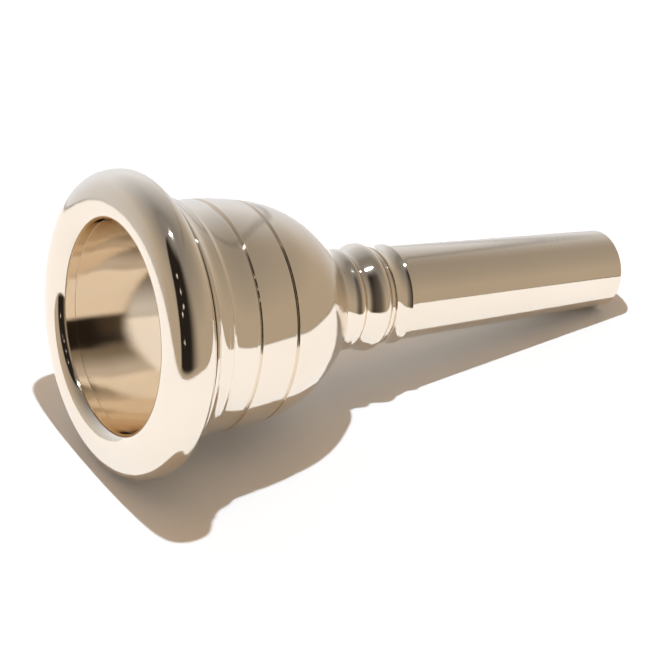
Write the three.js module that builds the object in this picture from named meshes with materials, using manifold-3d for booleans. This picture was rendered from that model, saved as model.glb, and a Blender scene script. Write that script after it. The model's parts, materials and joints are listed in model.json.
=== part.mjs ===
// A modular tuba mouthpiece, turned in brass and silver plated.
// Three turned parts share one axis: a screw-on rim, the cup, and the shank with its throat and
// backbore. A rubber O-ring sits in each of the two screw joints.
//
// Lengths are in millimetres. In a section, u runs along the axis from the crest of the rim to the
// tip of the shank, and r is the radius. The finished part lies on its side, as it would on a table:
// the widest line of the rim and the tip of the shank both touch z = 0.

import * as THREE from 'three';
import { mergeVertices } from 'three/addons/utils/BufferGeometryUtils.js';
import Module from 'manifold-3d';

// Driving dimensions
const SEGMENTS = 64;          // flats around each turned surface
const RIM_RADIUS = 24.0;      // widest line of the rim
const RIM_WIDEST_U = 4.2;
const BITE_RADIUS = 16.5;     // inner edge of the rim
const COLLAR_RADIUS = 21.1;   // ring on the cup, behind the rim
const BARREL_RADIUS = 18.45;  // outside of the cup
const TIP_RADIUS = 6.7;
const LENGTH = 98.0;
const SHANK_START_U = 52.3;
const SHANK_START_RADIUS = 7.9;
const BEAD_RADIUS = 8.75;
const THROAT_RADIUS = 4.15;
const BACKBORE_RADIUS = 5.6;  // at the tip

// Faces that meet in the two screw joints
const RIM_BACK_U = 7.5;
const SPIGOT_FRONT_U = 3.3;
const SHOULDER_U = 7.8;
const CUP_BACK_U = 38.4;
const NECK_FRONT_U = 38.7;
const TENON_FRONT_U = 31.6;

// Threads: both right-handed, with the same pitch and the same tooth
const PITCH = 1.25;
const TOOTH_HEIGHT = 0.6;
const TOOTH_ROOT = 0.7;       // width along the axis at the root
const TOOTH_CREST = 0.3;
const THREAD_GAP = 0.14;      // clearance all around the tooth
const TOOTH_STEPS = 32;       // straight runs in one turn of a tooth
const RIM_THREAD = { root: 18.6, start: 3.75, turns: 2.1 };
const NECK_THREAD = { root: 5.35, start: 32.1, turns: 3.4 };
const CUTTER = { gap: THREAD_GAP, before: 0.15, after: 0.8 };

// O-rings
const RIM_O_RING = { u: 6.93, radius: 19.95, section: 0.5 };
const NECK_O_RING = { u: 37.75, radius: 6.3, section: 0.5 };

const wasm = await Module();
wasm.setup();

function closedMesh(positions, triangles) {
  const geometry = new THREE.BufferGeometry();
  geometry.setAttribute('position', new THREE.Float32BufferAttribute(positions, 3));
  geometry.setIndex(triangles);
  return geometry;
}

function toSolid(geometry) {
  const bare = geometry.clone();
  bare.deleteAttribute('normal');
  bare.deleteAttribute('uv');
  const merged = mergeVertices(bare, 1e-5);
  const mesh = new wasm.Mesh({
    numProp: 3,
    vertProperties: new Float32Array(merged.attributes.position.array),
    triVerts: new Uint32Array(merged.index.array),
  });
  return new wasm.Manifold(mesh);
}

function toGeometry(solid) {
  const mesh = solid.getMesh();
  return closedMesh(Array.from(mesh.vertProperties), Array.from(mesh.triVerts));
}

// Turns a closed section about the axis. The section is listed with the metal on its right.
function turned(section, segments = SEGMENTS) {
  const positions = [];
  const triangles = [];
  const count = section.length;
  for (let j = 0; j < segments; j += 1) {
    const angle = ((j + 0.5) * 2 * Math.PI) / segments;
    for (const [u, r] of section) {
      positions.push(u, r * Math.cos(angle), r * Math.sin(angle));
    }
  }
  for (let j = 0; j < segments; j += 1) {
    const next = (j + 1) % segments;
    for (let i = 0; i < count; i += 1) {
      const k = (i + 1) % count;
      const a = j * count + i;
      const b = j * count + k;
      const c = next * count + k;
      const d = next * count + i;
      triangles.push(a, c, b, a, d, c);
    }
  }
  return closedMesh(positions, triangles);
}

// A tooth of trapezoidal section wound along a right-handed helix, run out to nothing at both ends.
// A cutter for the matching groove has a gap, starts a little earlier and runs out of the mouth.
function tooth(thread, { gap = 0, before = 0, after = 0 } = {}) {
  const steps = Math.round((before + thread.turns + after) * TOOTH_STEPS);
  const first = -Math.round(before * TOOTH_STEPS);
  const fade = TOOTH_STEPS / 8;
  const positions = [];
  const triangles = [];
  for (let i = 0; i <= steps; i += 1) {
    const angle = ((first + i) * 2 * Math.PI) / TOOTH_STEPS;
    const centre = thread.start + (PITCH * (first + i)) / TOOTH_STEPS;
    const share = Math.min(1, (Math.min(i, steps - i) + 0.5) / fade);
    const crest = thread.root + TOOTH_HEIGHT * share + gap;
    const corners = [
      [centre - TOOTH_ROOT / 2 - gap, thread.root - 0.3],
      [centre - TOOTH_CREST / 2 - gap, crest],
      [centre + TOOTH_CREST / 2 + gap, crest],
      [centre + TOOTH_ROOT / 2 + gap, thread.root - 0.3],
    ];
    for (const [u, r] of corners) {
      positions.push(u, r * Math.cos(angle), r * Math.sin(angle));
    }
  }
  for (let i = 0; i < steps; i += 1) {
    for (let k = 0; k < 4; k += 1) {
      const a = i * 4 + k;
      const b = i * 4 + ((k + 1) % 4);
      triangles.push(a, b + 4, b, a, a + 4, b + 4);
    }
  }
  const last = steps * 4;
  triangles.push(0, 1, 2, 0, 2, 3);
  triangles.push(last, last + 2, last + 1, last, last + 3, last + 2);
  return closedMesh(positions, triangles);
}

function oRing({ u, radius, section }) {
  const sides = 8;
  const points = [];
  for (let i = 0; i < sides; i += 1) {
    const angle = (i * 2 * Math.PI) / sides;
    points.push([u - section * Math.cos(angle), radius + section * Math.sin(angle)]);
  }
  return turned(points, 40);
}

// A shallow groove cut across an outside surface between two points of its section.
function groove(u, width, radius, depth) {
  return [
    [u, radius],
    [u + 0.08, radius - depth],
    [u + width - 0.08, radius - depth],
    [u + width, radius],
  ];
}

function rim() {
  const bore = RIM_THREAD.root + THREAD_GAP + 0.1;
  const section = [
    [3.0, BITE_RADIUS - 0.05],
    [1.7, BITE_RADIUS - 0.02],
    [1.15, BITE_RADIUS + 0.1],
    [0.75, BITE_RADIUS + 0.38],
    [0.35, 17.5],
    [0.08, 18.3],
    [0.0, 19.0],
    [0.12, 20.0],
    [0.5, 21.1],
    [1.15, 22.3],
    [2.05, 23.25],
    [3.1, 23.85],
    [RIM_WIDEST_U, RIM_RADIUS],
    [5.2, 23.75],
    [6.1, 23.1],
    [6.8, 22.3],
    [7.25, 21.6],
    [RIM_BACK_U, 21.2],
    [RIM_BACK_U, RIM_O_RING.radius + RIM_O_RING.section + 0.1],
    [6.3, RIM_O_RING.radius + RIM_O_RING.section + 0.1],
    [6.3, bore + 0.3],
    [6.0, bore],
    [3.0, bore],
  ];
  return toGeometry(toSolid(turned(section)).subtract(toSolid(tooth(RIM_THREAD, CUTTER))));
}

function cup() {
  const neckBore = NECK_THREAD.root + THREAD_GAP + 0.1;
  const recess = NECK_O_RING.radius + NECK_O_RING.section + 0.25;
  const section = [
    [SPIGOT_FRONT_U, 16.6],
    [SPIGOT_FRONT_U, RIM_THREAD.root - 0.3],
    [SPIGOT_FRONT_U + 0.3, RIM_THREAD.root],
    [6.7, RIM_THREAD.root],
    [7.0, RIM_THREAD.root - 0.25],
    [SHOULDER_U, RIM_THREAD.root - 0.25],
    [SHOULDER_U, COLLAR_RADIUS - 0.15],
    [SHOULDER_U + 0.15, COLLAR_RADIUS],
    [8.75, COLLAR_RADIUS - 0.1],
    [9.0, COLLAR_RADIUS - 0.45],
    [9.5, 20.0],
    [10.3, 19.55],
    [11.1, 19.45],
    [11.35, 19.1],
    [12.0, 18.7],
    [12.9, 18.5],
    [14.5, BARREL_RADIUS],
    ...groove(16.7, 0.9, BARREL_RADIUS, 0.35),
    [20.5, 18.2],
    ...groove(23.4, 0.7, 17.85, 0.3),
    [27.0, 17.2],
    [30.0, 16.1],
    [33.0, 14.5],
    [35.2, 12.7],
    [36.7, 11.35],
    [37.8, 10.3],
    [38.3, 9.6],
    [CUP_BACK_U, 9.3],
    [CUP_BACK_U, recess],
    [36.8, recess],
    [36.8, neckBore + 0.3],
    [36.5, neckBore],
    [31.3, neckBore],
    [31.3, 4.35],
    [30.7, 4.45],
    [29.8, 5.3],
    [28.4, 6.9],
    [26.4, 8.9],
    [23.8, 11.0],
    [21.0, 12.7],
    [17.5, 14.2],
    [13.5, 15.3],
    [9.5, 16.0],
    [5.0, 16.4],
  ];
  return toGeometry(toSolid(turned(section))
    .add(toSolid(tooth(RIM_THREAD)))
    .subtract(toSolid(tooth(NECK_THREAD, CUTTER))));
}

function shank() {
  const section = [
    [TENON_FRONT_U, THROAT_RADIUS + 0.15],
    [TENON_FRONT_U, NECK_THREAD.root - 0.25],
    [TENON_FRONT_U + 0.25, NECK_THREAD.root],
    [36.8, NECK_THREAD.root],
    [37.0, NECK_THREAD.root - 0.15],
    [NECK_FRONT_U - 0.1, NECK_THREAD.root - 0.15],
    [NECK_FRONT_U, NECK_THREAD.root],
    [NECK_FRONT_U, 8.15],
    [NECK_FRONT_U + 0.15, 8.3],
    [41.4, 8.3],
    [41.75, 7.9],
    [42.2, 7.9],
    [42.3, 8.3],
    [42.85, 8.3],
    [42.95, 7.95],
    [43.2, 7.95],
    [43.4, 8.3],
    [43.8, 8.62],
    [44.4, BEAD_RADIUS],
    [45.3, BEAD_RADIUS],
    [46.1, 8.62],
    [46.9, 8.35],
    [47.4, 8.15],
    [47.5, 7.95],
    [47.85, 7.95],
    [47.95, 8.3],
    [48.5, 8.3],
    [48.55, 8.05],
    [48.75, 8.05],
    [48.85, 8.35],
    [50.2, 8.12],
    [51.4, 8.25],
    [51.95, 8.25],
    [52.05, SHANK_START_RADIUS + 0.01],
    [SHANK_START_U, SHANK_START_RADIUS],
    [75.0, SHANK_START_RADIUS + ((TIP_RADIUS - SHANK_START_RADIUS) * (75.0 - SHANK_START_U)) / (LENGTH - SHANK_START_U)],
    [LENGTH - 0.2, TIP_RADIUS],
    [LENGTH, TIP_RADIUS - 0.2],
    [LENGTH, BACKBORE_RADIUS],
    [75.0, 5.05],
    [52.0, 4.5],
    [38.0, THROAT_RADIUS],
    [34.0, THROAT_RADIUS],
  ];
  return toGeometry(toSolid(turned(section)).add(toSolid(tooth(NECK_THREAD))));
}

// Lays a piece on its side. The facets face straight down at the bottom, so the flats of the rim
// and of the tip lie along the floor.
function laidDown(geometry) {
  const facing = Math.cos(Math.PI / SEGMENTS);
  const contactU = LENGTH - 0.2;
  const tilt = Math.atan(((RIM_RADIUS - TIP_RADIUS) * facing) / (contactU - RIM_WIDEST_U));
  const height = RIM_RADIUS * facing * Math.cos(tilt) + RIM_WIDEST_U * Math.sin(tilt);
  const placed = geometry.clone();
  placed.rotateY(tilt);
  placed.translate(0, 0, height);
  return placed;
}

const silverPlate = new THREE.MeshStandardMaterial({ color: 0xd9d4ca, metalness: 1, roughness: 0.12 });
const blackRubber = new THREE.MeshStandardMaterial({ color: 0x1c1c1e, metalness: 0, roughness: 0.7 });

const pieces = [
  ['rim', rim(), silverPlate],
  ['rim_o_ring', oRing(RIM_O_RING), blackRubber],
  ['cup', cup(), silverPlate],
  ['shank_o_ring', oRing(NECK_O_RING), blackRubber],
  ['shank', shank(), silverPlate],
];

const mouthpiece = new THREE.Group();
mouthpiece.name = 'tuba_mouthpiece';
const box = new THREE.Box3();
for (const [name, geometry, material] of pieces) {
  const mesh = new THREE.Mesh(laidDown(geometry), material);
  mesh.name = name;
  mesh.geometry.computeBoundingBox();
  box.union(mesh.geometry.boundingBox);
  mouthpiece.add(mesh);
}
const middle = box.getCenter(new THREE.Vector3());
for (const mesh of mouthpiece.children) {
  mesh.geometry.translate(-middle.x, -middle.y, 0);
  mesh.geometry.computeVertexNormals();
}

export default mouthpiece;
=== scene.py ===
# The finished look of the tuba mouthpiece: three silver-plated parts turned about one axis, and
# the two rubber O-rings in their screw joints. Each visible piece is a turned outline with real
# grooves, softened edges and cut threads, and stands for the CAD piece of the same name. The neck
# mouldings and the rim's outer shoulder are shaped more finely than the CAD's.
#
# Outlines are in millimetres: u runs along the axis from the crest of the rim to the tip of the
# shank, and r is the radius. They run with the metal on the right of the direction of travel.

import json
import math

import bpy
import numpy as np
from mathutils import Matrix, Vector

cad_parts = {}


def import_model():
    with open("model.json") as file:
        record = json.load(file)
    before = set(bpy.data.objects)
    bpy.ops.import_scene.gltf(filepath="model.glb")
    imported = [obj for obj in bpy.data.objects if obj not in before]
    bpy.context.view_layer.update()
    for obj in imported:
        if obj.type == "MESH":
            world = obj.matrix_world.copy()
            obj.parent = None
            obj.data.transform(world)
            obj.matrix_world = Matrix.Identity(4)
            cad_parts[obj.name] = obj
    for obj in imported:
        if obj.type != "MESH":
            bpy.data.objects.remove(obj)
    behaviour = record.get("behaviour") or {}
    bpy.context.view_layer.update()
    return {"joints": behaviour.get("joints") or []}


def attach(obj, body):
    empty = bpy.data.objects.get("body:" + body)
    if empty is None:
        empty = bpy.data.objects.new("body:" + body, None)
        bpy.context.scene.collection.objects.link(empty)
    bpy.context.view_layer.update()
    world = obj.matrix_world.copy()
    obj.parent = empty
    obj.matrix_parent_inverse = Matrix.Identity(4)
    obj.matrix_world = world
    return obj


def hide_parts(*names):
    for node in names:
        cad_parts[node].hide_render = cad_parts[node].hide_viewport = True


MM = 0.001
SEGMENTS = 144          # steps around each turned surface
CURVE_STEP = 0.22       # longest run between two points of a curve
LINE_STEP = 3.0         # longest run between two points of a straight line
THREAD_STEP = 0.045     # run between two points of a threaded length
SOFT = 0.07             # how far an ordinary edge is rounded off to each side
BEND_STEP = 15          # degrees turned between two points of a rounded edge

# The screw threads, as the CAD has them
PITCH = 1.25
TOOTH_HEIGHT = 0.6
TOOTH_CREST = 0.12      # half the width at the crest, and at the root
TOOTH_ROOT = 0.42
THREAD_GAP = 0.14
BORE_GAP = 0.24         # from the root of the outside thread to the bore around it
RUN_OUT = 0.125         # turns over which a thread fades in and out
RIM_THREAD = {"root": 18.6, "start": 3.75, "turns": 2.1}
NECK_THREAD = {"root": 5.35, "start": 32.1, "turns": 3.4}
CUT_BEFORE = 0.15
CUT_AFTER = 0.8

RIM_O_RING = {"u": 6.93, "radius": 19.95, "section": 0.5}
NECK_O_RING = {"u": 37.75, "radius": 6.3, "section": 0.5}

SHANK_START = (52.3, 7.9)
TIP = (98.0, 6.7)
JOINT_MARK = 60.0       # where the shank's screw joint stands along u

# Light and surroundings. Headings are degrees from +Y towards +X.
KEY_STRENGTH = 134.0
KEY_COLOUR = (0.80, 0.90, 1.0)
KEY_RADIUS = 0.0036
KEY_PLACE = (-0.0201, -0.0101, 0.2616)
FILL_POWER = 5.0
FILL_COLOUR = (1.0, 0.56, 0.22)
FILL_SIZE = 1.6
FILL_HEIGHT = 1.2
SPOT_COLOUR = (3.2, 2.9, 2.5)
WALL = (0.490, 0.405, 0.305)
PALE_WALL = (0.86, 0.885, 0.94)
CEILING = (0.247, 0.226, 0.201)
FIGURE = (0.022, 0.017, 0.014)
PALE_HEADING = 10
FIGURE_HEADING = -132
CARD_CENTRE = (-0.08, -0.02)
CARD_RADIUS = 0.165
FLOOR_LEVEL = -0.00004
CARD_LEVEL = -0.00003

# The camera
SENSOR_WIDTH = 36.0
LENS_LENGTH = 110.764
CAMERA_PLACE = (-0.15452, -0.23814, 0.18348)
CAMERA_RIGHT = (0.8529, -0.5220, 0.0062)
CAMERA_FORWARD = (0.4482, 0.7261, -0.5214)


# ---------------------------------------------------------------- outlines


class Curve:
    """A smooth run of an outline through points, with its end directions when they are given."""

    def __init__(self, points, start=None, end=None, soft=SOFT):
        self.points = points
        self.start = start
        self.end = end
        self.soft = soft


class Sweep:
    """A smooth run from one point to another: one cubic with a direction and a pull at each end."""

    def __init__(self, a, leaving, b, arriving, soft=SOFT):
        self.a = a
        self.leaving = leaving
        self.b = b
        self.arriving = arriving
        self.soft = soft


class Threaded:
    """A straight run with a thread on it, outside or inside."""

    def __init__(self, u0, u1, radius, thread, inside):
        self.u0 = u0
        self.u1 = u1
        self.radius = radius
        self.thread = thread
        self.inside = inside
        self.soft = SOFT


def unit(v):
    return v / np.linalg.norm(v)


def run_of_line(a, b, step=LINE_STEP):
    a = np.array(a, float)
    b = np.array(b, float)
    count = max(1, math.ceil(np.linalg.norm(b - a) / step))
    points = np.array([a + (b - a) * k / count for k in range(count + 1)])
    return points, np.array([unit(b - a)] * (count + 1))


def run_of_cubic(p0, p1, p2, p3, step=CURVE_STEP):
    length = np.linalg.norm(p1 - p0) + np.linalg.norm(p2 - p1) + np.linalg.norm(p3 - p2)
    t = np.linspace(0, 1, max(4, math.ceil(length / step)))[:, None]
    s = 1 - t
    points = s**3 * p0 + 3 * s * s * t * p1 + 3 * s * t * t * p2 + t**3 * p3
    slopes = s * s * (p1 - p0) + 2 * s * t * (p2 - p1) + t * t * (p3 - p2)
    return points, slopes / np.linalg.norm(slopes, axis=1)[:, None]


def run_of_sweep(sweep):
    a = np.array(sweep.a, float)
    b = np.array(sweep.b, float)
    return run_of_cubic(a, a + np.array(sweep.leaving, float), b - np.array(sweep.arriving, float), b)


def run_of_curve(curve):
    """A cubic spline whose curvature is continuous, through the curve's points."""
    p = np.array(curve.points, float)
    n = len(p)
    h = np.linalg.norm(np.diff(p, axis=0), axis=1)
    d = np.diff(p, axis=0) / h[:, None]
    matrix = np.zeros((n, n))
    right = np.zeros((n, 2))
    for i in range(1, n - 1):
        matrix[i, i - 1] = h[i]
        matrix[i, i] = 2 * (h[i - 1] + h[i])
        matrix[i, i + 1] = h[i - 1]
        right[i] = 3 * (h[i] * d[i - 1] + h[i - 1] * d[i])
    matrix[0, :2] = (1, 0) if curve.start else (2, 1)
    right[0] = unit(np.array(curve.start, float)) if curve.start else 3 * d[0]
    matrix[-1, -2:] = (0, 1) if curve.end else (1, 2)
    right[-1] = unit(np.array(curve.end, float)) if curve.end else 3 * d[-1]
    slope = np.linalg.solve(matrix, right)
    points, tangents = [], []
    for i in range(n - 1):
        pull = h[i] / 3
        run = run_of_cubic(p[i], p[i] + slope[i] * pull, p[i + 1] - slope[i + 1] * pull, p[i + 1])
        points.append(run[0] if i == 0 else run[0][1:])
        tangents.append(run[1] if i == 0 else run[1][1:])
    return np.vstack(points), np.vstack(tangents)


def cut_back(run, length):
    """A run shortened by a length at its end."""
    points, tangents = run
    steps = np.linalg.norm(np.diff(points, axis=0), axis=1)
    along = np.concatenate([[0], np.cumsum(steps)])
    stop = along[-1] - length
    kept = along < stop - 1e-6
    last = [np.interp(stop, along, points[:, k]) for k in (0, 1)]
    turned = [np.interp(stop, along, tangents[:, k]) for k in (0, 1)]
    return np.vstack([points[kept], last]), np.vstack([tangents[kept], unit(np.array(turned))])


def reverse(run):
    return run[0][::-1], -run[1][::-1]


def bend(run, following):
    """The rounded edge that joins two runs whose ends have been cut back."""
    p, t = run[0][-1], run[1][-1]
    q, s = following[0][0], following[1][0]
    across = t[0] * s[1] - t[1] * s[0]
    turn = math.degrees(math.atan2(abs(across), float(t @ s)))
    corner = (p + q) / 2
    if abs(across) > 0.02:
        corner = p + t * ((q - p)[0] * s[1] - (q - p)[1] * s[0]) / across
    k = np.linspace(0, 1, max(3, math.ceil(turn / BEND_STEP) + 1))[:, None]
    points = (1 - k) ** 2 * p + 2 * k * (1 - k) * corner + k * k * q
    slopes = (1 - k) * (corner - p) + k * (q - corner)
    return points, slopes / np.linalg.norm(slopes, axis=1)[:, None]


def length_of(run):
    return float(np.linalg.norm(np.diff(run[0], axis=0), axis=1).sum())


def outline(parts):
    """Joins corners (u, r) or (u, r, soft), curves, sweeps and threaded lengths into one closed
    line. Gives its points, the directions in which it arrives at and leaves each of them, and
    the thread that each point is on."""
    runs, softness, threads = [], [], []

    def add(run, soft, thread=None):
        runs.append(run)
        softness.append(soft)
        threads.append(thread)

    first = None
    here = None
    for part in parts:
        if isinstance(part, tuple):
            start, soft, run = part[:2], (part[2] if len(part) > 2 else SOFT), None
        else:
            soft = part.soft
            if isinstance(part, Sweep):
                run = run_of_sweep(part)
            elif isinstance(part, Curve):
                run = run_of_curve(part)
            else:
                run = run_of_line((part.u0, part.radius), (part.u1, part.radius), THREAD_STEP)
            start = tuple(run[0][0])
        if here is None:
            first = (start, soft)
        elif math.dist(here, start) > 1e-6:
            add(run_of_line(here, start), soft)
        here = start
        if run is not None:
            add(run, soft, part if isinstance(part, Threaded) else None)
            here = tuple(run[0][-1])
    if math.dist(here, first[0]) > 1e-6:
        add(run_of_line(here, first[0]), first[1])

    count = len(runs)
    lengths = [length_of(run) for run in runs]
    bends = {}
    trims = []
    for i in range(count):
        j = (i + 1) % count
        turn = float(runs[i][1][-1] @ runs[j][1][0])
        trims.append(0 if turn > 0.998 else min(softness[i], 0.42 * lengths[i], 0.42 * lengths[j]))
    for i in range(count):
        if trims[i] > 1e-4:
            runs[i] = cut_back(runs[i], trims[i])
        if trims[i - 1] > 1e-4:
            runs[i] = reverse(cut_back(reverse(runs[i]), trims[i - 1]))
    for i in range(count):
        if trims[i] > 1e-4:
            bends[i] = bend(runs[i], runs[(i + 1) % count])

    points, arriving, leaving, marks = [], [], [], []

    def lay(run, thread):
        for p, t in zip(*run):
            if points and math.dist(points[-1], p) < 1e-5:
                leaving[-1] = t
                marks[-1] = marks[-1] or thread
            else:
                points.append(p)
                arriving.append(t)
                leaving.append(t)
                marks.append(thread)

    for i in range(count):
        lay(runs[i], threads[i])
        if i in bends:
            lay(bends[i], None)
    if math.dist(points[0], points[-1]) < 1e-5:
        arriving[0] = arriving[-1]
        for each in (points, arriving, leaving, marks):
            each.pop()
    return np.array(points), np.array(arriving), np.array(leaving), marks


# ---------------------------------------------------------------- turning


def tooth(thread, u, angle, before, after, wider):
    """How high a helical tooth stands at each place, from 0 at its root to 1 at its crest."""
    height = np.zeros(np.broadcast(u, angle).shape)
    first, last = -before, thread["turns"] + after
    for lap in range(-1, math.ceil(last) + 1):
        turn = angle / (2 * math.pi) + lap
        share = np.clip(np.minimum(turn - first, last - turn) / RUN_OUT, 0, 1)
        away = np.abs(u - thread["start"] - PITCH * turn)
        rise = np.clip((TOOTH_ROOT + wider - away) / (TOOTH_ROOT - TOOTH_CREST), 0, 1)
        height = np.maximum(height, share * rise * rise * (3 - 2 * rise))
    return height


def turned_mesh(name, parts):
    points, arriving, leaving, marks = outline(parts)
    count = len(points)
    angles = np.arange(SEGMENTS) * 2 * math.pi / SEGMENTS
    u = np.repeat(points[:, :1], SEGMENTS, axis=1)
    r = np.repeat(points[:, 1:], SEGMENTS, axis=1)
    threaded = np.array([mark is not None for mark in marks])
    for i in np.flatnonzero(threaded):
        thread = marks[i].thread
        if marks[i].inside:
            cut = tooth(thread, u[i], angles, CUT_BEFORE, CUT_AFTER, THREAD_GAP)
            r[i] += cut * (TOOTH_HEIGHT + THREAD_GAP - BORE_GAP)
        else:
            r[i] += tooth(thread, u[i], angles, 0, 0, 0) * TOOTH_HEIGHT
    place = np.stack([u, r * np.cos(angles), r * np.sin(angles)], axis=2)

    def facing(direction):
        along = np.repeat(-direction[:, 1:], SEGMENTS, axis=1)
        out = np.repeat(direction[:, :1], SEGMENTS, axis=1)
        return np.stack([along, out * np.cos(angles), out * np.sin(angles)], axis=2)

    before, after = facing(arriving), facing(leaving)
    if threaded.any():
        along = np.roll(place, -1, axis=0) - np.roll(place, 1, axis=0)
        around = np.roll(place, -1, axis=1) - np.roll(place, 1, axis=1)
        normal = np.cross(around, along)
        normal /= np.maximum(np.linalg.norm(normal, axis=2), 1e-12)[:, :, None]
        before[threaded] = normal[threaded]
        after[threaded] = normal[threaded]

    i = np.repeat(np.arange(count), SEGMENTS)
    j = np.tile(np.arange(SEGMENTS), count)
    i2 = (i + 1) % count
    j2 = (j + 1) % SEGMENTS
    faces = np.stack([i * SEGMENTS + j, i * SEGMENTS + j2, i2 * SEGMENTS + j2, i2 * SEGMENTS + j], axis=1)
    normals = np.stack([after[i, j], after[i, j2], before[i2, j2], before[i2, j]], axis=1)

    steps = np.linalg.norm(np.diff(np.vstack([points, points[:1]]), axis=0), axis=1)
    along = np.concatenate([[0], np.cumsum(steps)]) / 50
    across = np.arange(SEGMENTS + 1) / SEGMENTS
    uv = np.stack([
        np.stack([across[j], along[i]], axis=1),
        np.stack([across[j + 1], along[i]], axis=1),
        np.stack([across[j + 1], along[i + 1]], axis=1),
        np.stack([across[j], along[i + 1]], axis=1),
    ], axis=1)

    mesh = bpy.data.meshes.new(name)
    mesh.from_pydata((place.reshape(-1, 3) * MM).tolist(), [], faces.tolist())
    layer = mesh.uv_layers.new(name="turned")
    layer.data.foreach_set("uv", uv.reshape(-1).astype(np.float32))
    mesh.shade_smooth()
    mesh.normals_split_custom_set(normals.reshape(-1, 3).tolist())
    return mesh


def ring_outline(ring):
    """The round section of an O-ring."""
    sides = 28
    u, radius, section = ring["u"], ring["radius"], ring["section"]
    loop = [k * 2 * math.pi / sides for k in range(sides + 1)]
    points = [(u - section * math.cos(k), radius + section * math.sin(k)) for k in loop]
    return [Curve(points, start=(0, 1), end=(0, 1))]


# ---------------------------------------------------------------- the three turned parts


def groove(u, width, front, back, depth):
    """A narrow flat-bottomed groove between two points of an outside surface."""
    slope = 0.06
    return [
        (u, front, 0.05),
        (u + slope, front - depth, 0.08),
        (u + width - slope, back - depth, 0.08),
        (u + width, back, 0.05),
    ]


def rim_outline():
    bore = RIM_THREAD["root"] + BORE_GAP
    return [
        (3.27, 16.55, 0.03),
        (1.7, 16.5),
        Sweep((1.7, 16.5), (-0.633, 0), (0, 19.1), (0, 1.9)),
        Sweep((0, 19.1), (0, 3.2), (4.2, 24.0), (2.9, 0)),
        Sweep((4.2, 24.0), (1.95, 0), (7.5, 21.35), (0.8, -1.28), 0.12),
        (7.5, 20.55, 0.1),
        (6.3, 20.55, 0.1),
        (6.3, 19.14, 0.05),
        (6.05, bore, 0.05),
        Threaded(5.95, 3.1, bore, RIM_THREAD, True),
        (3.27, bore, 0.03),
    ]


def cup_outline():
    return [
        (3.3, 16.55, 0.03),
        (3.3, 18.3, 0.05),
        (3.55, 18.6, 0.05),
        Threaded(3.62, 6.62, 18.6, RIM_THREAD, False),
        (6.75, 18.6, 0.05),
        (7.0, 18.35, 0.05),
        (7.8, 18.35, 0.1),
        (7.8, 21.08, 0.12),
        (8.22, 21.08, 0.1),
        Curve([(8.42, 20.75), (8.95, 20.15), (9.8, 19.66), (10.95, 19.42)], (0.25, -1), (1, -0.1), 0.08),
        (11.0, 19.28, 0.05),
        (11.75, 19.2, 0.12),
        (12.05, 18.78, 0.1),
        Curve([(12.35, 18.66), (12.9, 18.54), (14.5, 18.47), (16.15, 18.47)], (1, -0.5), (1, 0), 0.1),
        *groove(16.25, 0.9, 18.47, 18.45, 0.36),
        Curve([(17.3, 18.45), (20.5, 18.24), (23.35, 17.87)], (1, -0.03), (1, -0.15), 0.05),
        *groove(23.4, 0.72, 17.86, 17.76, 0.32),
        Curve([(24.15, 17.75), (27.0, 17.17), (30.0, 16.08), (33.0, 14.42), (35.5, 12.5), (37.4, 10.8),
               (38.2, 9.75)], (1, -0.165), (0.5, -0.86), 0.08),
        (38.4, 9.3, 0.1),
        (38.4, 7.05, 0.1),
        (36.8, 7.05, 0.1),
        (36.8, 5.89, 0.05),
        (36.55, 5.59, 0.05),
        Threaded(36.45, 31.45, 5.59, NECK_THREAD, True),
        (31.3, 5.59, 0.05),
        (31.3, 4.35, 0.05),
        Curve([(30.75, 4.42), (29.8, 5.3), (28.4, 6.9), (26.4, 8.9), (23.8, 10.95), (21.0, 12.62),
               (17.5, 14.15), (13.5, 15.3), (9.5, 16.0), (5.0, 16.5)], (-1, 0.45), (-1, 0.04), 0.15),
    ]


def shank_outline():
    slope = (TIP[1] - SHANK_START[1]) / (TIP[0] - SHANK_START[0])
    return [
        (31.6, 4.3, 0.08),
        (31.6, 5.1, 0.05),
        (31.85, 5.35, 0.05),
        Threaded(31.95, 36.7, 5.35, NECK_THREAD, False),
        (36.85, 5.35, 0.05),
        (37.0, 5.2, 0.05),
        (38.7, 5.2, 0.1),
        (38.7, 7.8, 0.14),
        Curve([(38.9, 7.84), (39.8, 7.78), (40.7, 7.82), (41.2, 7.94), (41.8, 8.2), (42.1, 8.3),
               (42.5, 8.27), (42.7, 8.12)], (1, 0), (1, -1), 0.06),
        (42.8, 7.5, 0.06),
        (43.15, 7.5, 0.06),
        (43.22, 7.76, 0.06),
        Curve([(43.5, 7.78), (44.0, 7.92), (44.5, 8.17), (45.1, 8.47), (45.7, 8.74), (46.2, 8.89),
               (46.6, 8.92), (47.0, 8.82), (47.3, 8.62), (47.5, 8.4)], (1, 0.1), (1, -1.2), 0.06),
        (47.58, 7.75, 0.06),
        (47.85, 7.75, 0.06),
        (47.92, 8.08, 0.08),
        (48.5, 8.08, 0.08),
        (48.57, 7.78, 0.05),
        (48.74, 7.78, 0.05),
        Curve([(48.84, 8.16), (49.4, 7.97), (50.2, 7.8), (50.8, 7.83), (51.3, 7.98), (51.7, 8.16),
               (51.9, 8.27)], None, None, 0.06),
        (52.02, 8.27, 0.06),
        (52.08, 7.85, 0.06),
        (SHANK_START[0], SHANK_START[1] - 0.02, 0.04),
        (53.0, SHANK_START[1] + slope * 0.7, 0.04),
        (97.82, TIP[1] + slope * -0.18, 0.1),
        (TIP[0], TIP[1] - 0.18, 0.1),
        (TIP[0], 5.75, 0.1),
        (97.8, 5.6, 0.1),
        Curve([(97.6, 5.6), (75.0, 5.05), (52.0, 4.5), (38.0, 4.15), (36.0, 4.15)], None, (-1, 0), 0.1),
        (34.0, 4.15, 0.1),
        (32.0, 4.16, 0.1),
    ]


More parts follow.
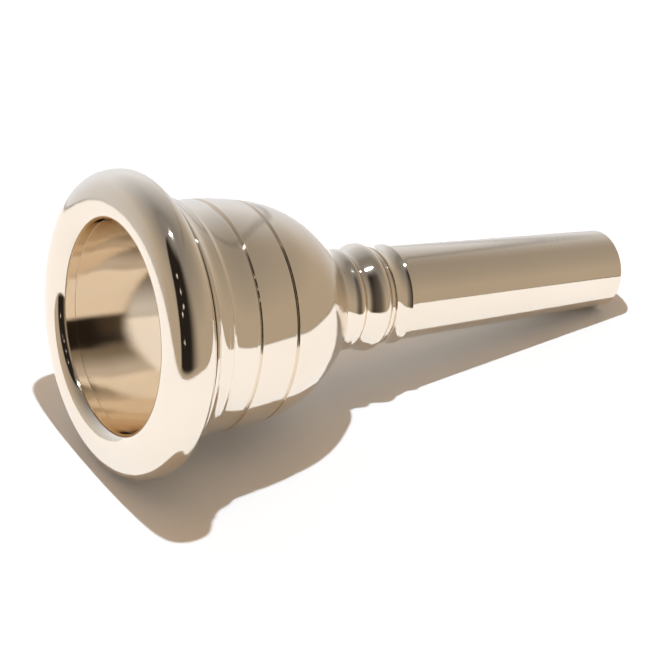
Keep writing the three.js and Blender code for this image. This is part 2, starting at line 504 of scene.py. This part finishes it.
# ---------------------------------------------------------------- materials


def new_material(name):
    material = bpy.data.materials.new(name)
    material.use_nodes = True
    nodes = material.node_tree.nodes
    return material, nodes, material.node_tree.links, nodes["Principled BSDF"]


def noise(nodes, links, vector, scale, detail=3.0, roughness=0.5):
    node = nodes.new("ShaderNodeTexNoise")
    node.inputs["Scale"].default_value = scale
    node.inputs["Detail"].default_value = detail
    node.inputs["Roughness"].default_value = roughness
    links.new(vector, node.inputs["Vector"])
    return node.outputs["Fac"]


def mapped(nodes, links, value, low, high, to_low, to_high):
    node = nodes.new("ShaderNodeMapRange")
    node.inputs["From Min"].default_value = low
    node.inputs["From Max"].default_value = high
    node.inputs["To Min"].default_value = to_low
    node.inputs["To Max"].default_value = to_high
    links.new(value, node.inputs["Value"])
    return node.outputs["Result"]


def stretched(nodes, links, vector, scale):
    node = nodes.new("ShaderNodeMapping")
    node.inputs["Scale"].default_value = scale
    links.new(vector, node.inputs["Vector"])
    return node.outputs["Vector"]


def arithmetic(nodes, links, operation, a, b):
    node = nodes.new("ShaderNodeMath")
    node.operation = operation
    for socket, value in zip(node.inputs, (a, b)):
        if isinstance(value, (int, float)):
            socket.default_value = value
        else:
            links.new(value, socket)
    return node.outputs[0]


def silver_plate():
    """Mirror-bright plate with the faint rings of the polishing mop, a few hairline scratches,
    tiny pits and a breath of handling haze."""
    material, nodes, links, shader = new_material("silver_plate")
    where = nodes.new("ShaderNodeTexCoord")
    place = where.outputs["Object"]
    turned = where.outputs["UV"]

    haze = noise(nodes, links, place, 55.0, 4.0, 0.6)
    rings = noise(nodes, links, stretched(nodes, links, turned, (5, 900, 1)), 1.0, 2.0, 0.6)
    hairs = noise(nodes, links, stretched(nodes, links, turned, (14, 3200, 1)), 1.0, 1.0, 0.5)
    pits = nodes.new("ShaderNodeTexVoronoi")
    pits.inputs["Scale"].default_value = 420
    links.new(place, pits.inputs["Vector"])

    tint = nodes.new("ShaderNodeMix")
    tint.data_type = "RGBA"
    tint.inputs["A"].default_value = (0.885, 0.812, 0.712, 1)
    tint.inputs["B"].default_value = (0.860, 0.782, 0.678, 1)
    links.new(mapped(nodes, links, haze, 0.35, 0.7, 0, 1), tint.inputs["Factor"])
    links.new(tint.outputs["Result"], shader.inputs["Base Color"])

    shader.inputs["Metallic"].default_value = 1.0
    gloss = arithmetic(nodes, links, "ADD",
                       mapped(nodes, links, haze, 0.35, 0.75, 0.030, 0.060),
                       mapped(nodes, links, rings, 0.45, 0.8, 0.0, 0.035))
    links.new(gloss, shader.inputs["Roughness"])

    relief = arithmetic(nodes, links, "ADD",
                        arithmetic(nodes, links, "MULTIPLY", rings, 0.6),
                        arithmetic(nodes, links, "MULTIPLY", hairs, 0.4))
    relief = arithmetic(nodes, links, "ADD", relief,
                        mapped(nodes, links, pits.outputs["Distance"], 0.0, 0.10, -0.3, 0.0))
    bump = nodes.new("ShaderNodeBump")
    bump.inputs["Strength"].default_value = 0.05
    bump.inputs["Distance"].default_value = 0.00006
    links.new(relief, bump.inputs["Height"])
    links.new(bump.outputs["Normal"], shader.inputs["Normal"])
    return material


def black_rubber():
    """Moulded nitrile rubber, lightly greased."""
    material, nodes, links, shader = new_material("rubber")
    place = nodes.new("ShaderNodeTexCoord").outputs["Object"]
    grain = noise(nodes, links, place, 2600.0, 3.0, 0.6)
    grease = noise(nodes, links, place, 240.0, 2.0, 0.5)
    tint = nodes.new("ShaderNodeMix")
    tint.data_type = "RGBA"
    tint.inputs["A"].default_value = (0.018, 0.018, 0.020, 1)
    tint.inputs["B"].default_value = (0.040, 0.040, 0.042, 1)
    links.new(grain, tint.inputs["Factor"])
    links.new(tint.outputs["Result"], shader.inputs["Base Color"])
    links.new(mapped(nodes, links, grease, 0.35, 0.65, 0.35, 0.62), shader.inputs["Roughness"])
    bump = nodes.new("ShaderNodeBump")
    bump.inputs["Strength"].default_value = 0.25
    bump.inputs["Distance"].default_value = 0.00003
    links.new(grain, bump.inputs["Height"])
    links.new(bump.outputs["Normal"], shader.inputs["Normal"])
    return material


def white_card(name, edge):
    """Smooth matt white card, dark just inside its edge when it has one."""
    material, nodes, links, shader = new_material(name)
    place = nodes.new("ShaderNodeTexCoord").outputs["Object"]
    grain = noise(nodes, links, place, 900.0, 3.0, 0.6)
    tint = nodes.new("ShaderNodeMix")
    tint.data_type = "RGBA"
    tint.inputs["A"].default_value = (0.86, 0.86, 0.86, 1)
    tint.inputs["B"].default_value = (0.88, 0.88, 0.88, 1)
    links.new(grain, tint.inputs["Factor"])
    colour = tint.outputs["Result"]
    if edge:
        away = nodes.new("ShaderNodeVectorMath")
        away.operation = "LENGTH"
        links.new(place, away.inputs[0])
        rimmed = nodes.new("ShaderNodeMix")
        rimmed.data_type = "RGBA"
        rimmed.inputs["B"].default_value = (0.12, 0.10, 0.08, 1)
        links.new(mapped(nodes, links, away.outputs["Value"], edge - 0.008, edge - 0.004, 0, 1),
                  rimmed.inputs["Factor"])
        links.new(colour, rimmed.inputs["A"])
        colour = rimmed.outputs["Result"]
    links.new(colour, shader.inputs["Base Color"])
    shader.inputs["Roughness"].default_value = 1.0
    shader.inputs["Specular IOR Level"].default_value = 0.0
    return material


# ---------------------------------------------------------------- scene


def add_piece(name, mesh, material, body, frame_matrix):
    piece = bpy.data.objects.new(name, mesh)
    bpy.context.scene.collection.objects.link(piece)
    piece.matrix_world = frame_matrix
    mesh.materials.append(material)
    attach(piece, body)
    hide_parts(name[len("seen_"):])


def disc(name, radii, material, centre, height):
    """A round flat sheet."""
    sides = 96
    points = [(0, 0, 0)]
    for radius in radii:
        for k in range(sides):
            angle = 2 * math.pi * k / sides
            points.append((radius * math.cos(angle), radius * math.sin(angle), 0))
    faces = [(0, 1 + k, 1 + (k + 1) % sides) for k in range(sides)]
    for ring in range(len(radii) - 1):
        for k in range(sides):
            a = 1 + ring * sides + k
            b = 1 + ring * sides + (k + 1) % sides
            faces.append((a, a + sides, b + sides, b))
    mesh = bpy.data.meshes.new(name)
    mesh.from_pydata(points, [], faces)
    mesh.materials.append(material)
    sheet = bpy.data.objects.new(name, mesh)
    sheet.location = (*centre, height)
    bpy.context.scene.collection.objects.link(sheet)
    return sheet


def add_floor():
    """The pale floor, and the white card on it that the silver mirrors: the card is smaller than
    the floor, with a dark edge, and only reflections see it."""
    floor = disc("floor", (0.05, 0.12, 0.3, 0.8, 2.5), white_card("floor_card", None), (0, 0), FLOOR_LEVEL)
    floor.visible_glossy = False
    card = disc("mirrored_card", (0.05, 0.12, CARD_RADIUS), white_card("mirrored_card", CARD_RADIUS),
                CARD_CENTRE, CARD_LEVEL)
    card.visible_camera = False
    card.visible_diffuse = False
    card.visible_shadow = False


def add_key_light():
    """A small bright lamp high above the mouthpiece. Its strength grows with distance, so that it
    lights the whole floor evenly."""
    lamp = bpy.data.lights.new("key", "POINT")
    lamp.shadow_soft_size = KEY_RADIUS
    lamp.color = KEY_COLOUR
    lamp.energy = 1.0
    lamp.use_nodes = True
    nodes = lamp.node_tree.nodes
    links = lamp.node_tree.links
    falloff = nodes.new("ShaderNodeLightFalloff")
    falloff.inputs["Strength"].default_value = KEY_STRENGTH
    distance = nodes.new("ShaderNodeLightPath").outputs["Ray Length"]
    strength = arithmetic(nodes, links, "MULTIPLY", falloff.outputs["Constant"], distance)
    links.new(strength, nodes["Emission"].inputs["Strength"])
    key = bpy.data.objects.new("key", lamp)
    key.location = KEY_PLACE
    bpy.context.scene.collection.objects.link(key)


def add_fill_light():
    """A wide warm lamp overhead that softens the shadow. The silver doesn't mirror it."""
    lamp = bpy.data.lights.new("fill", "AREA")
    lamp.shape = "DISK"
    lamp.size = FILL_SIZE
    lamp.color = FILL_COLOUR
    lamp.energy = FILL_POWER
    fill = bpy.data.objects.new("fill", lamp)
    fill.location = (0.0, 0.0, FILL_HEIGHT)
    fill.visible_glossy = False
    bpy.context.scene.collection.objects.link(fill)


def towards(heading, height):
    """The unit vector of a direction: degrees from +Y towards +X, and degrees above level."""
    a = math.radians(heading)
    e = math.radians(height)
    return math.sin(a) * math.cos(e), math.cos(a) * math.cos(e), math.sin(e)


def add_room():
    """The room as the silver sees it: warm walls, a pale one beyond the mouthpiece, a dimmer
    ceiling, one dark figure bending over the table on the near side, and a few small lights."""
    world = bpy.data.worlds.new("room")
    bpy.context.scene.world = world
    world.use_nodes = True
    nodes = world.node_tree.nodes
    links = world.node_tree.links
    nodes.clear()
    direction = nodes.new("ShaderNodeTexCoord").outputs["Generated"]
    split = nodes.new("ShaderNodeSeparateXYZ")
    links.new(direction, split.inputs[0])
    x, y, z = split.outputs

    def maths(operation, a, b=0.0):
        return arithmetic(nodes, links, operation, a, b)

    def ramp(value, low, high, smooth=True):
        node = nodes.new("ShaderNodeMapRange")
        node.interpolation_type = "SMOOTHSTEP" if smooth else "LINEAR"
        node.inputs["From Min"].default_value = low
        node.inputs["From Max"].default_value = high
        links.new(value, node.inputs["Value"])
        return node.outputs["Result"]

    def mixed(factor, a, b):
        node = nodes.new("ShaderNodeMix")
        node.data_type = "RGBA"
        links.new(factor, node.inputs["Factor"])
        for socket, value in ((node.inputs["A"], a), (node.inputs["B"], b)):
            if isinstance(value, tuple):
                socket.default_value = (*value, 1)
            else:
                links.new(value, socket)
        return node.outputs["Result"]

    def aside_from(heading):
        """Degrees round the room from a heading, negative to the left."""
        turned = maths("SUBTRACT", maths("DEGREES", maths("ARCTAN2", x, y)), heading)
        wrapped = maths("WRAP", turned, 180.0)
        wrapped.node.inputs[2].default_value = -180.0
        return wrapped

    height = maths("DEGREES", maths("ARCSINE", z))
    paleness = ramp(maths("ABSOLUTE", aside_from(PALE_HEADING)), 80, 8)
    walls = mixed(paleness, WALL, PALE_WALL)
    seen = mixed(ramp(height, 12, 68, smooth=False), walls, CEILING)

    rail = nodes.new("ShaderNodeVectorMath")
    rail.operation = "DOT_PRODUCT"
    rail.inputs[1].default_value = Vector(towards(56, 28)).cross(Vector(towards(76, 47))).normalized()
    links.new(direction, rail.inputs[0])
    thin = ramp(maths("ABSOLUTE", rail.outputs["Value"]), 0.02, 0.008)
    on_rail = maths("MULTIPLY", thin, ramp(maths("ABSOLUTE", aside_from(70)), 42, 30))
    seen = mixed(maths("MULTIPLY", on_rail, 0.4), seen, FIGURE)

    aside = aside_from(FIGURE_HEADING)
    lean = maths("SUBTRACT", aside, maths("MULTIPLY", height, 0.35))
    figure = maths("MULTIPLY", ramp(lean, 29, 25), ramp(aside, -66, -20))
    figure = maths("MULTIPLY", figure, ramp(height, -7, -3))
    figure = maths("MULTIPLY", figure, ramp(height, 86, 66))
    seen = mixed(figure, seen, FIGURE)
    for spot in ((-127, 43), (-117, 50), (-121, 27), (-124, 12), (-132, 35)):
        near = nodes.new("ShaderNodeVectorMath")
        near.operation = "DOT_PRODUCT"
        near.inputs[1].default_value = towards(*spot)
        links.new(direction, near.inputs[0])
        inside = ramp(near.outputs["Value"], math.cos(math.radians(1.3)), math.cos(math.radians(0.8)))
        seen = mixed(inside, seen, SPOT_COLOUR)

    room = nodes.new("ShaderNodeBackground")
    links.new(seen, room.inputs["Color"])
    backdrop = nodes.new("ShaderNodeBackground")
    backdrop.inputs["Color"].default_value = (1.0, 1.0, 1.0, 1)
    path = nodes.new("ShaderNodeLightPath")
    mix = nodes.new("ShaderNodeMixShader")
    links.new(path.outputs["Is Camera Ray"], mix.inputs[0])
    links.new(room.outputs[0], mix.inputs[1])
    links.new(backdrop.outputs[0], mix.inputs[2])
    output = nodes.new("ShaderNodeOutputWorld")
    links.new(mix.outputs[0], output.inputs["Surface"])


def add_camera():
    lens = bpy.data.cameras.new("camera")
    lens.sensor_width = SENSOR_WIDTH
    lens.lens = LENS_LENGTH
    lens.clip_start = 0.01
    camera = bpy.data.objects.new("camera", lens)
    right = Vector(CAMERA_RIGHT).normalized()
    forward = Vector(CAMERA_FORWARD).normalized()
    up = right.cross(forward).normalized()
    right = forward.cross(up).normalized()
    turn = Matrix((right, up, -forward)).transposed().to_4x4()
    camera.matrix_world = Matrix.Translation(CAMERA_PLACE) @ turn
    bpy.context.scene.collection.objects.link(camera)
    bpy.context.scene.camera = camera


def axis_frame(frame):
    """Places an outline in the shared frame: u along the mouthpiece's own axis, which the screw joint
    of the shank gives."""
    joint = next(j for j in frame["joints"] if j["name"] == "shank_turn")
    along = Vector(joint["axis"]).normalized()
    start = Vector(joint["pos_m"]) - along * JOINT_MARK * MM
    side = Vector((0, 1, 0))
    up = along.cross(side).normalized()
    return Matrix.Translation(start) @ Matrix((along, side, up)).transposed().to_4x4()


def main():
    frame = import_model()
    bpy.context.scene.view_settings.view_transform = "Standard"
    bpy.context.scene.cycles.max_bounces = 14
    bpy.context.scene.cycles.glossy_bounces = 12

    place = axis_frame(frame)
    silver = silver_plate()
    rubber = black_rubber()
    for name, body, parts, material, slot in (
        ("rim", "rim", rim_outline(), silver, "silver_plate"),
        ("rim_o_ring", "rim_seal", ring_outline(RIM_O_RING), rubber, "rubber"),
        ("cup", "cup", cup_outline(), silver, "silver_plate"),
        ("shank_o_ring", "shank_seal", ring_outline(NECK_O_RING), rubber, "rubber"),
        ("shank", "shank", shank_outline(), silver, "silver_plate"),
    ):
        mesh = turned_mesh("seen_" + name, parts)
        add_piece("seen_" + name, mesh, material, body, place)

    add_floor()
    add_key_light()
    add_fill_light()
    add_room()
    add_camera()


main()
